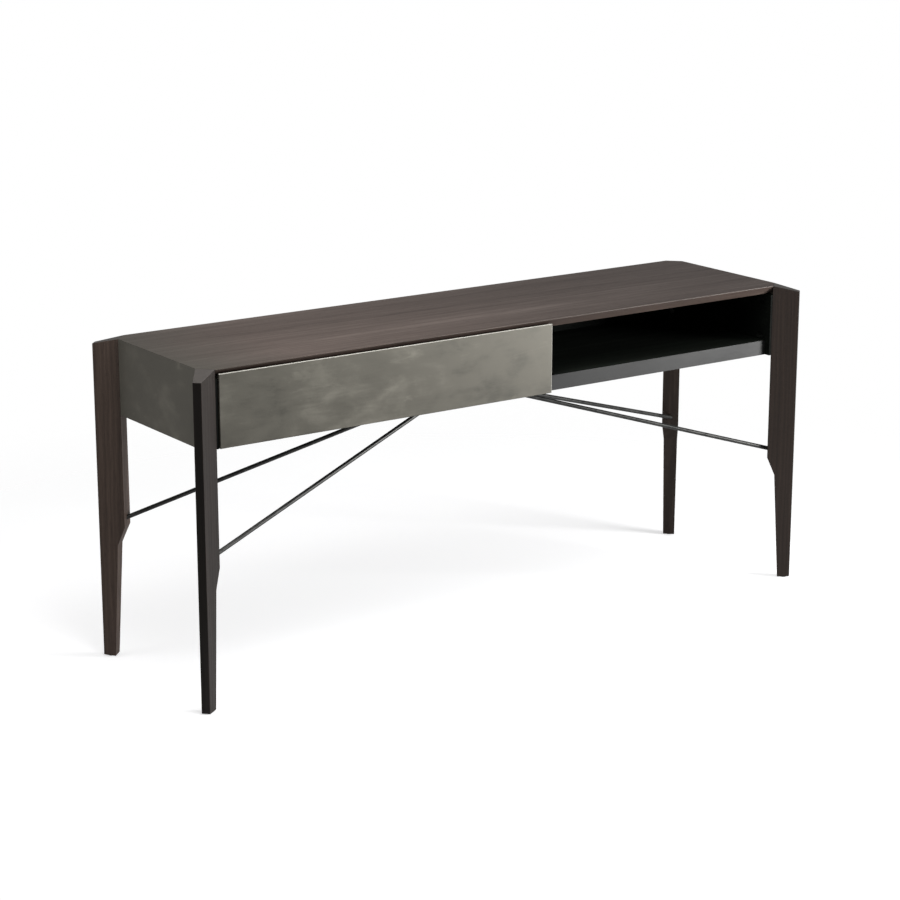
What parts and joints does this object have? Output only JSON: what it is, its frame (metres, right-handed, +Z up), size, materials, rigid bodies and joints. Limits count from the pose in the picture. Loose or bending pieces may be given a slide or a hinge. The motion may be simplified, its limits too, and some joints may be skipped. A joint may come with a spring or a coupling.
{
  "type": "console table",
  "caption": "Long console table with a wide handle-less drawer beside an open bay, on diagonal blade legs braced by slim rods.",
  "frame": {"origin": "on the floor, under the middle of the table's overall box", "axes": "+X along the length to the right as seen from the front, -Y out of the front, +Z up"},
  "size_m": [1.7, 0.484, 0.75],
  "materials": {
    "stained_oak": "dark stained open-grain oak, matt",
    "pewter_finish": "mottled brushed pewter-coloured metal coating on board, satin",
    "dark_board": "near-black stained oak veneer on board, matt",
    "drawer_wood": "dark stained oak, oiled",
    "beech": "plain beech dowel",
    "dark_steel": "burnished dark steel, semi-gloss",
    "zinc_steel": "zinc-plated steel",
    "insert_brass": "plain brass",
    "black_nylon": "matt black nylon",
    "grey_plastic": "matt grey acetal"
  },
  "bodies": {
    "table": {"top_panel": "stained_oak", "leg_front_left": "stained_oak", "leg_front_right": "stained_oak", "leg_rear_left": "stained_oak", "leg_rear_right": "stained_oak", "side_panel_left": "pewter_finish", "side_panel_right": "pewter_finish", "back_panel": "pewter_finish", "bottom_lipping": "pewter_finish", "side_liner_left": "dark_board", "side_liner_right": "dark_board", "bottom_panel": "dark_board", "divider": "dark_board", "panel_dowels": "beech", "rod_front_left": "dark_steel", "rod_front_right": "dark_steel", "rod_rear_left": "dark_steel", "rod_rear_right": "dark_steel", "hub_plate": "dark_steel", "hub_block": "dark_steel", "hub_grub_screws": "dark_steel", "leg_bolts": "dark_steel", "hub_screws": "zinc_steel", "slide_cabinet_left": "zinc_steel", "slide_cabinet_right": "zinc_steel", "slide_cabinet_screws": "zinc_steel", "latch_screws": "zinc_steel", "leg_inserts": "insert_brass", "glide_front_left": "black_nylon", "glide_front_right": "black_nylon", "glide_rear_left": "black_nylon", "glide_rear_right": "black_nylon", "latch_body": "black_nylon"},
    "drawer": {"drawer_front": "pewter_finish", "drawer_inner_front": "drawer_wood", "drawer_side_left": "drawer_wood", "drawer_side_right": "drawer_wood", "drawer_back": "drawer_wood", "drawer_bottom": "drawer_wood", "drawer_front_screws": "zinc_steel", "slide_drawer_left": "zinc_steel", "slide_drawer_right": "zinc_steel", "slide_drawer_screws": "zinc_steel"},
    "slide_middle_left": {"slide_middle_left": "zinc_steel"},
    "slide_middle_right": {"slide_middle_right": "zinc_steel"},
    "latch_plunger": {"latch_plunger": "grey_plastic"}
  },
  "joints": [
    {"name": "drawer_slide", "type": "slide", "parent": "table", "child": "drawer", "axis": [0, -1, 0], "range_m": [0, 0.32]},
    {"name": "slide_left_middle", "type": "slide", "parent": "table", "child": "slide_middle_left", "axis": [0, -1, 0], "range_m": [0, 0.16]},
    {"name": "slide_right_middle", "type": "slide", "parent": "table", "child": "slide_middle_right", "axis": [0, -1, 0], "range_m": [0, 0.16]},
    {"name": "latch_push", "type": "slide", "parent": "table", "child": "latch_plunger", "axis": [0, -1, 0], "range_m": [0, 0.012]}
  ],
  "couplings": [
    {"joint": "slide_left_middle", "follows": "drawer_slide", "ratio": 0.5},
    {"joint": "slide_right_middle", "follows": "drawer_slide", "ratio": 0.5},
    {"joint": "latch_push", "follows": "drawer_slide", "ratio": 0.0375}
  ]
}
